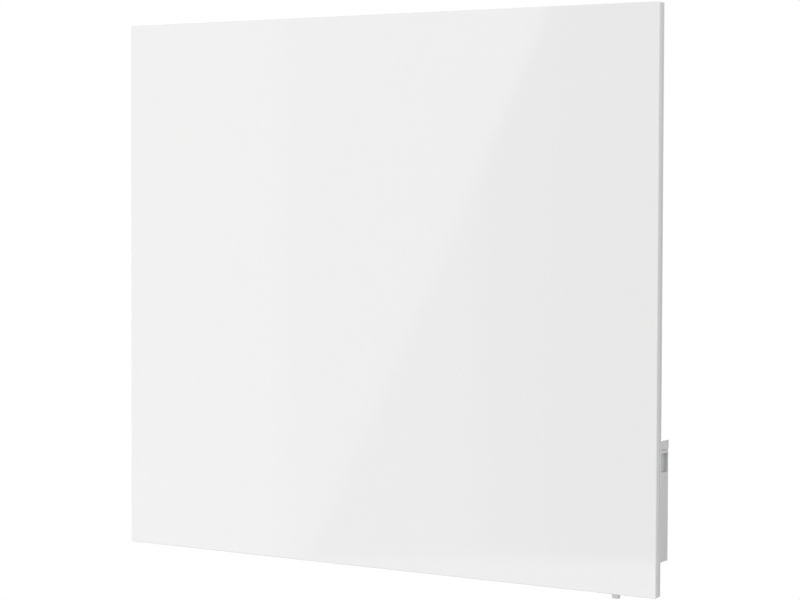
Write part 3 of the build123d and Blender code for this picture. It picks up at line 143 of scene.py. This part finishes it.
# Small node helpers: each returns the output socket of the node that it makes.
def place_of(tree, stretch=NO_STRETCH):
    """The point's place in the piece's own frame, stretched along each axis."""
    place = tree.nodes.new("ShaderNodeTexCoord")
    mapping = tree.nodes.new("ShaderNodeMapping")
    mapping.inputs["Scale"].default_value = stretch
    tree.links.new(place.outputs["Object"], mapping.inputs["Vector"])
    return mapping.outputs["Vector"]


def noise(tree, size, detail, stretch):
    """Soft random patches, about one size across."""
    node = tree.nodes.new("ShaderNodeTexNoise")
    node.inputs["Scale"].default_value = 1.0 / size
    node.inputs["Detail"].default_value = detail
    tree.links.new(place_of(tree, stretch), node.inputs["Vector"])
    return node.outputs["Fac"]


def cells(tree, size):
    """One random value for each crystal-like cell, about one size across."""
    node = tree.nodes.new("ShaderNodeTexVoronoi")
    node.inputs["Scale"].default_value = 1.0 / size
    tree.links.new(place_of(tree), node.inputs["Vector"])
    split = tree.nodes.new("ShaderNodeSeparateColor")
    tree.links.new(node.outputs["Color"], split.inputs["Color"])
    return split.outputs["Red"]


def spread(tree, value, low, high):
    """Maps a 0 to 1 value onto another range."""
    node = tree.nodes.new("ShaderNodeMapRange")
    node.inputs["To Min"].default_value = low
    node.inputs["To Max"].default_value = high
    tree.links.new(value, node.inputs["Value"])
    return node.outputs["Result"]


def fade(tree, value, edges, levels):
    """Goes smoothly from the first level to the second as the value crosses the two edges."""
    node = tree.nodes.new("ShaderNodeMapRange")
    node.interpolation_type = "SMOOTHSTEP"
    node.inputs["From Min"].default_value = edges[0]
    node.inputs["From Max"].default_value = edges[1]
    node.inputs["To Min"].default_value = levels[0]
    node.inputs["To Max"].default_value = levels[1]
    tree.links.new(value, node.inputs["Value"])
    return node.outputs["Result"]


def combine(tree, operation, first, second):
    """Two values joined by one operation."""
    node = tree.nodes.new("ShaderNodeMath")
    node.operation = operation
    tree.links.new(first, node.inputs[0])
    tree.links.new(second, node.inputs[1])
    return node.outputs["Value"]


def between(tree, value, first, second):
    """A colour between two colours."""
    node = tree.nodes.new("ShaderNodeMix")
    node.data_type = "RGBA"
    node.inputs["A"].default_value = first
    node.inputs["B"].default_value = second
    tree.links.new(value, node.inputs["Factor"])
    return node.outputs["Result"]


def bump(tree, height, depth):
    """A surface relief with its real depth."""
    node = tree.nodes.new("ShaderNodeBump")
    node.inputs["Strength"].default_value = 1.0
    node.inputs["Distance"].default_value = depth
    tree.links.new(height, node.inputs["Height"])
    return node.outputs["Normal"]


def mix_shaders(tree, share, first, second):
    """The first shader where the share is 0, and the second where it is 1."""
    node = tree.nodes.new("ShaderNodeMixShader")
    tree.links.new(share, node.inputs["Fac"])
    tree.links.new(first, node.inputs[1])
    tree.links.new(second, node.inputs[2])
    return node.outputs["Shader"]


# Finishes, one for each material slot of the solid model and two inks.
finishes = {}


def shade(colour, change):
    """The colour made lighter or darker by a share."""
    return tuple(min(1.0, part * (1.0 + change)) for part in colour) + (1.0,)


def add_finish(
    name,
    colour,
    roughness,
    relief_size,
    relief_depth,
    patch_size,
    patch_change,
    roughness_change=0.05,
    metallic=0.0,
    ior=1.5,
    stretch=NO_STRETCH,
    crystal_size=None,
):
    """Adds a finish: patches of lighter and darker colour, a fine relief and an uneven gloss."""
    made = bpy.data.materials.new(name)
    made.use_nodes = True
    tree = made.node_tree
    shader = tree.nodes["Principled BSDF"]
    shader.inputs["Metallic"].default_value = metallic
    shader.inputs["IOR"].default_value = ior
    if crystal_size:
        patches = cells(tree, crystal_size)
    else:
        patches = noise(tree, patch_size, PATCH_DETAIL, stretch)
    tint = between(tree, patches, shade(colour, -patch_change), shade(colour, patch_change))
    gloss = spread(
        tree,
        noise(tree, patch_size, GLOSS_DETAIL, stretch),
        roughness - roughness_change,
        roughness + roughness_change,
    )
    relief = noise(tree, relief_size, RELIEF_DETAIL, stretch)
    tree.links.new(tint, shader.inputs["Base Color"])
    tree.links.new(gloss, shader.inputs["Roughness"])
    tree.links.new(bump(tree, relief, relief_depth), shader.inputs["Normal"])
    finishes[name] = made


add_finish(
    "panel_glass",
    colour=(0.855, 0.855, 0.853),
    roughness=0.045,
    relief_size=120 * MM,
    relief_depth=0.2 * MICRON,
    patch_size=90 * MM,
    patch_change=0.002,
    roughness_change=0.01,
    ior=1.55,
)
add_finish(
    "bond_tape",
    colour=(0.80, 0.80, 0.79),
    roughness=0.75,
    relief_size=1.2 * MM,
    relief_depth=60 * MICRON,
    patch_size=4 * MM,
    patch_change=0.05,
)
add_finish(
    "white_steel",
    colour=(0.82, 0.82, 0.815),
    roughness=0.38,
    relief_size=1.6 * MM,
    relief_depth=20 * MICRON,
    patch_size=30 * MM,
    patch_change=0.012,
)
add_finish(
    "zinc_steel",
    colour=(0.60, 0.61, 0.62),
    roughness=0.38,
    relief_size=2 * MM,
    relief_depth=10 * MICRON,
    patch_size=20 * MM,
    patch_change=0.12,
    metallic=1.0,
    crystal_size=6 * MM,
)
add_finish(
    "bright_screw",
    colour=(0.66, 0.66, 0.65),
    roughness=0.28,
    relief_size=0.9 * MM,
    relief_depth=10 * MICRON,
    patch_size=3 * MM,
    patch_change=0.06,
    metallic=1.0,
)
add_finish(
    "fin_aluminium",
    colour=(0.80, 0.81, 0.82),
    roughness=0.33,
    relief_size=3 * MM,
    relief_depth=20 * MICRON,
    patch_size=12 * MM,
    patch_change=0.05,
    metallic=1.0,
    stretch=(1.0, 1.0, 0.12),
)
add_finish(
    "element_steel",
    colour=(0.25, 0.22, 0.19),
    roughness=0.45,
    relief_size=1 * MM,
    relief_depth=20 * MICRON,
    patch_size=18 * MM,
    patch_change=0.35,
    metallic=1.0,
    stretch=(0.4, 1.0, 1.0),
)
add_finish(
    "ceramic",
    colour=(0.84, 0.82, 0.77),
    roughness=0.62,
    relief_size=0.5 * MM,
    relief_depth=30 * MICRON,
    patch_size=2 * MM,
    patch_change=0.04,
)
add_finish(
    "white_plastic",
    colour=(0.80, 0.805, 0.81),
    roughness=0.46,
    relief_size=0.7 * MM,
    relief_depth=20 * MICRON,
    patch_size=20 * MM,
    patch_change=0.01,
)
add_finish(
    "lens_plastic",
    colour=(0.60, 0.62, 0.63),
    roughness=0.12,
    relief_size=4 * MM,
    relief_depth=1 * MICRON,
    patch_size=8 * MM,
    patch_change=0.03,
    roughness_change=0.03,
)
add_finish(
    "black_plastic",
    colour=(0.03, 0.03, 0.031),
    roughness=0.42,
    relief_size=0.6 * MM,
    relief_depth=20 * MICRON,
    patch_size=10 * MM,
    patch_change=0.15,
)
add_finish(
    "board_laminate",
    colour=(0.03, 0.19, 0.07),
    roughness=0.35,
    relief_size=0.8 * MM,
    relief_depth=20 * MICRON,
    patch_size=2 * MM,
    patch_change=0.25,
)
add_finish(
    "button_plastic",
    colour=(0.76, 0.765, 0.77),
    roughness=0.32,
    relief_size=0.8 * MM,
    relief_depth=8 * MICRON,
    patch_size=8 * MM,
    patch_change=0.012,
)
add_finish(
    "black_rubber",
    colour=(0.025, 0.025, 0.025),
    roughness=0.68,
    relief_size=0.6 * MM,
    relief_depth=30 * MICRON,
    patch_size=4 * MM,
    patch_change=0.2,
)
add_finish(
    "white_rubber",
    colour=(0.88, 0.88, 0.87),
    roughness=0.6,
    relief_size=0.7 * MM,
    relief_depth=30 * MICRON,
    patch_size=6 * MM,
    patch_change=0.02,
)
add_finish(
    "tinned_brass",
    colour=(0.70, 0.65, 0.50),
    roughness=0.3,
    relief_size=0.8 * MM,
    relief_depth=10 * MICRON,
    patch_size=3 * MM,
    patch_change=0.1,
    metallic=1.0,
)
add_finish(
    "cutout_phenolic",
    colour=(0.06, 0.03, 0.02),
    roughness=0.4,
    relief_size=0.9 * MM,
    relief_depth=20 * MICRON,
    patch_size=3 * MM,
    patch_change=0.25,
)
for lead, lead_colour in (
    ("lead_brown", (0.16, 0.06, 0.03)),
    ("lead_blue", (0.02, 0.09, 0.36)),
    ("lead_green", (0.12, 0.36, 0.04)),
):
    add_finish(
        lead,
        colour=lead_colour,
        roughness=0.55,
        relief_size=0.6 * MM,
        relief_depth=10 * MICRON,
        patch_size=8 * MM,
        patch_change=0.1,
    )
add_finish(
    "pale_ink",
    colour=(0.62, 0.62, 0.61),
    roughness=0.5,
    relief_size=0.4 * MM,
    relief_depth=4 * MICRON,
    patch_size=2 * MM,
    patch_change=0.06,
)
add_finish(
    "mark_ink",
    colour=(0.20, 0.205, 0.21),
    roughness=0.5,
    relief_size=0.4 * MM,
    relief_depth=4 * MICRON,
    patch_size=2 * MM,
    patch_change=0.08,
)

for part in frame["record"]["subparts"]:
    for slot in frame["nodes"][part["node"]].material_slots:
        slot.material = finishes[part["material_slot"]]


# Printed marks: thin shapes laid on a face, drawn in the face's own plane.
MARK_THICKNESS = 0.12 * MM
MARK_SINK = 0.04 * MM
RING_SIDES = 48
BUTTON_MARK_LENGTH = 4.0 * MM
BUTTON_MARK_WIDTH = 0.7 * MM
ROCKER_MARK_LENGTH = 3.4 * MM
ROCKER_MARK_WIDTH = 0.7 * MM
ROCKER_MARK_OFFSET = 4.6 * MM
ROCKER_RAY_DROP = 20.0 * MM


def add_bar(shape, length, width):
    """A straight bar with square ends, centred, along the plane's first axis."""
    size = Matrix.Diagonal((length, width, MARK_THICKNESS, 1.0))
    bmesh.ops.create_cube(shape, size=1.0, matrix=size)


def add_ring(shape, radius, width):
    """A flat ring, centred."""
    inner = radius - width
    lower = -MARK_THICKNESS / 2
    upper = MARK_THICKNESS / 2
    step = 2.0 * math.pi / RING_SIDES
    rims = []
    for rim_radius, level in ((inner, lower), (radius, lower), (radius, upper), (inner, upper)):
        rim = []
        for side in range(RING_SIDES):
            angle = side * step
            spot = (rim_radius * math.cos(angle), rim_radius * math.sin(angle), level)
            rim.append(shape.verts.new(spot))
        rims.append(rim)
    for first, second in zip(rims, rims[1:] + rims[:1]):
        for side in range(RING_SIDES):
            after = (side + 1) % RING_SIDES
            shape.faces.new((first[side], first[after], second[after], second[side]))


def lay_mark(name, shape, spot, normal, along, body, ink):
    """Puts a drawn shape on a face of the object and fixes it to a body."""
    across = normal.cross(along).normalized()
    along = across.cross(normal)
    rise = normal * (MARK_THICKNESS / 2 - MARK_SINK)
    bmesh.ops.recalc_face_normals(shape, faces=shape.faces)
    shape.transform(Matrix.Translation(spot + rise) @ turned_to(along, across, normal))
    mesh = bpy.data.meshes.new(name)
    shape.to_mesh(mesh)
    shape.free()
    mark = add_object(name, mesh)
    mark.data.materials.append(finishes[ink])
    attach(mark, body)


# Button marks: a plus, a ring and a minus on the faces that look out of the module's side.
for node, body in (
    ("button_up", "up_button"),
    ("button_mode", "mode_button"),
    ("button_down", "down_button"),
):
    low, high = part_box(node)
    face_centre = Vector((high.x, (low.y + high.y) / 2, (low.z + high.z) / 2))
    drawing = bmesh.new()
    if node == "button_mode":
        add_ring(drawing, BUTTON_MARK_LENGTH / 2, BUTTON_MARK_WIDTH)
    else:
        add_bar(drawing, BUTTON_MARK_LENGTH, BUTTON_MARK_WIDTH)
    if node == "button_up":
        add_bar(drawing, BUTTON_MARK_WIDTH, BUTTON_MARK_LENGTH)
    lay_mark(f"mark_{node}", drawing, face_centre, RIGHT, INWARD, body, "mark_ink")

# Rocker marks: its two faces slope, so the place and slope of each are found on the face itself.
low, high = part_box("rocker")
rocker_centre = (low + high) / 2
for name, side in (("mark_rocker_on", -1), ("mark_rocker_off", 1)):
    start = rocker_centre + Vector((0, side * ROCKER_MARK_OFFSET, -ROCKER_RAY_DROP))
    _, spot, normal, _ = frame["nodes"]["rocker"].ray_cast(start, UP)
    drawing = bmesh.new()
    if name == "mark_rocker_on":
        add_bar(drawing, ROCKER_MARK_LENGTH, ROCKER_MARK_WIDTH)
    else:
        add_ring(drawing, ROCKER_MARK_LENGTH / 2, ROCKER_MARK_WIDTH)
    lay_mark(name, drawing, spot, normal, RIGHT, "power_rocker", "pale_ink")


# Camera, turned as the photograph's.
camera_data = bpy.data.cameras.new("camera")
camera_data.lens = CAMERA_LENS_MM
camera_data.sensor_width = CAMERA_SENSOR_MM
camera_data.shift_y = (VIEW_CENTRE_Y_PX - PICTURE_CENTRE_Y_PX) / PICTURE_WIDTH_PX
camera = add_object("camera", camera_data)
bpy.context.scene.camera = camera
look = Vector(
    (
        -math.sin(CAMERA_YAW) * math.cos(CAMERA_PITCH),
        math.cos(CAMERA_YAW) * math.cos(CAMERA_PITCH),
        math.sin(CAMERA_PITCH),
    )
)
level_right = Vector((math.cos(CAMERA_YAW), math.sin(CAMERA_YAW), 0.0))
level_up = level_right.cross(look)
view_right = math.cos(CAMERA_ROLL) * level_right + math.sin(CAMERA_ROLL) * level_up
view_up = view_right.cross(look)
camera.matrix_world = Matrix.Translation(CAMERA_PLACE) @ turned_to(view_right, view_up, -look)


# Studio: pieces that aren't part of the object.
def stage_piece(name, corners, look_of_piece):
    """A flat piece of the studio from its corners."""
    mesh = bpy.data.meshes.new(name)
    mesh.from_pydata([tuple(corner) for corner in corners], [], [tuple(range(len(corners)))])
    piece = add_object(name, mesh)
    piece.data.materials.append(look_of_piece)
    return piece


def only_in_mirrors(piece):
    """The piece is seen in glossy surfaces alone, and neither lights nor shades matt ones."""
    piece.visible_camera = False
    piece.visible_diffuse = False
    piece.visible_shadow = False
    piece.visible_transmission = False


def seen_in_glass(glass_x, glass_z, distance):
    """The place, at a distance in front of the glass, that the camera sees mirrored at one point."""
    glass_y = solid_low.y
    mirrored = Vector((CAMERA_PLACE.x, 2 * glass_y - CAMERA_PLACE.y, CAMERA_PLACE.z))
    on_glass = Vector((glass_x, glass_y, glass_z))
    ray = on_glass - mirrored
    return on_glass + ray * (distance / -ray.y)


def banded_glow(name, distance, places, lights):
    """A glow in upright bands, which change where the camera sees these places of the glass."""
    made = bpy.data.materials.new(name)
    made.use_nodes = True
    tree = made.node_tree
    tree.nodes.clear()
    glow = tree.nodes.new("ShaderNodeEmission")
    output = tree.nodes.new("ShaderNodeOutputMaterial")
    split = tree.nodes.new("ShaderNodeSeparateXYZ")
    tree.links.new(place_of(tree), split.inputs["Vector"])
    strength = None
    for place, before, after in zip(places, lights, lights[1:]):
        change_x = seen_in_glass(place, PANEL_MIDDLE_Z, distance).x
        edges = (change_x - BAND_BLUR, change_x + BAND_BLUR)
        if strength is None:
            strength = fade(tree, split.outputs["X"], edges, (before, after))
        else:
            change = fade(tree, split.outputs["X"], edges, (0.0, after - before))
            strength = combine(tree, "ADD", strength, change)
    tree.links.new(strength, glow.inputs["Strength"])
    tree.links.new(glow.outputs["Emission"], output.inputs["Surface"])
    return made


# The dim card whose straight edge crosses the glass on a slant.
edge_top = seen_in_glass(*CARD_EDGE_TOP, CARD_DISTANCE)
edge_bottom = seen_in_glass(*CARD_EDGE_BOTTOM, CARD_DISTANCE)
edge = edge_top - edge_bottom
card_top = edge_top + edge * CARD_STRETCH
card_bottom = edge_bottom - edge * CARD_STRETCH
card_shift = RIGHT * CARD_WIDTH
card = stage_piece(
    "card",
    (card_bottom, card_bottom + card_shift, card_top + card_shift, card_top),
    banded_glow("card", CARD_DISTANCE, CARD_BAND_PLACES, CARD_BAND_LIGHTS),
)
only_in_mirrors(card)

# The bright wall behind it, a little dimmer to the right of one upright band.
wall_left = seen_in_glass(solid_low.x, PANEL_MIDDLE_Z, WALL_DISTANCE) - RIGHT * WALL_MARGIN
wall_right = seen_in_glass(solid_high.x, PANEL_MIDDLE_Z, WALL_DISTANCE) + RIGHT * WALL_MARGIN
wall_rise = UP * WALL_HALF_HEIGHT
wall = stage_piece(
    "wall",
    (wall_left - wall_rise, wall_right - wall_rise, wall_right + wall_rise, wall_left + wall_rise),
    banded_glow("wall", WALL_DISTANCE, WALL_BAND_PLACES, WALL_BAND_LIGHTS),
)
only_in_mirrors(wall)


def floor_look():
    """Pale under the object, where its shadow falls, and plain white further out."""
    made = bpy.data.materials.new("floor")
    made.use_nodes = True
    tree = made.node_tree
    shader = tree.nodes["Principled BSDF"]
    shader.inputs["Base Color"].default_value = FLOOR_COLOUR
    shader.inputs["Roughness"].default_value = FLOOR_ROUGHNESS
    white = tree.nodes.new("ShaderNodeEmission")
    white.inputs["Strength"].default_value = 1.0
    reach = tree.nodes.new("ShaderNodeVectorMath")
    reach.operation = "LENGTH"
    tree.links.new(place_of(tree), reach.inputs[0])
    edges = (FLOOR_SHADE_RADIUS, FLOOR_WHITE_RADIUS)
    white_share = fade(tree, reach.outputs["Value"], edges, (FLOOR_WHITE_SHARE, 1.0))
    path = tree.nodes.new("ShaderNodeLightPath")
    seen = combine(tree, "MAXIMUM", path.outputs["Is Camera Ray"], path.outputs["Is Glossy Ray"])
    share = combine(tree, "MULTIPLY", white_share, seen)
    surface = mix_shaders(tree, share, shader.outputs["BSDF"], white.outputs["Emission"])
    tree.links.new(surface, tree.nodes["Material Output"].inputs["Surface"])
    return made


# Floor: a disc under the middle of the object.
floor_shape = bmesh.new()
bmesh.ops.create_circle(floor_shape, cap_ends=True, segments=FLOOR_SIDES, radius=FLOOR_RADIUS)
floor_mesh = bpy.data.meshes.new("floor")
floor_shape.to_mesh(floor_mesh)
floor_shape.free()
floor = add_object("floor", floor_mesh)
floor.location = (0, (solid_low.y + solid_high.y) / 2, solid_low.z - FLOOR_DROP)
floor.data.materials.append(floor_look())


def area_lamp(name, place, size, power):
    """A square soft lamp that looks at the middle of the object."""
    data = bpy.data.lights.new(name, "AREA")
    data.size = size
    data.energy = power
    lamp = add_object(name, data)
    lamp.location = place
    centre = (solid_low + solid_high) / 2
    lamp.rotation_mode = "QUATERNION"
    lamp.rotation_quaternion = (centre - place).to_track_quat("-Z", "Y")
    lamp.visible_camera = False
    return lamp


# Lamps: a broad one high at the front, a smaller one low at the front that the glass doesn't mirror,
# a small one high on the right, and one behind.
area_lamp("key_lamp", KEY_PLACE, KEY_SIZE, KEY_POWER)
fill_lamp = area_lamp("fill_lamp", FILL_PLACE, FILL_SIZE, FILL_POWER)
fill_lamp.visible_glossy = False
area_lamp("side_lamp", SIDE_PLACE, SIDE_SIZE, SIDE_POWER)
area_lamp("back_lamp", BACK_PLACE, BACK_SIZE, BACK_POWER)


def background(tree, strength):
    """A plain white background of a given strength."""
    node = tree.nodes.new("ShaderNodeBackground")
    node.inputs["Color"].default_value = WHITE
    node.inputs["Strength"].default_value = strength
    return node.outputs["Background"]


# Room: white where it is seen straight, mirrored or through something, and dimmer as a light.
world = bpy.data.worlds.new("room")
bpy.context.scene.world = world
world.use_nodes = True
room_tree = world.node_tree
room_tree.nodes.clear()
room_rays = room_tree.nodes.new("ShaderNodeLightPath").outputs
straight_or_mirrored = combine(
    room_tree, "MAXIMUM", room_rays["Is Camera Ray"], room_rays["Is Glossy Ray"]
)
room_seen = combine(room_tree, "MAXIMUM", straight_or_mirrored, room_rays["Is Transmission Ray"])
room_dim = background(room_tree, ROOM_LIGHT)
room_white = background(room_tree, 1.0)
room_output = room_tree.nodes.new("ShaderNodeOutputWorld")
room_surface = mix_shaders(room_tree, room_seen, room_dim, room_white)
room_tree.links.new(room_surface, room_output.inputs["Surface"])

bpy.context.scene.view_settings.view_transform = "Standard"
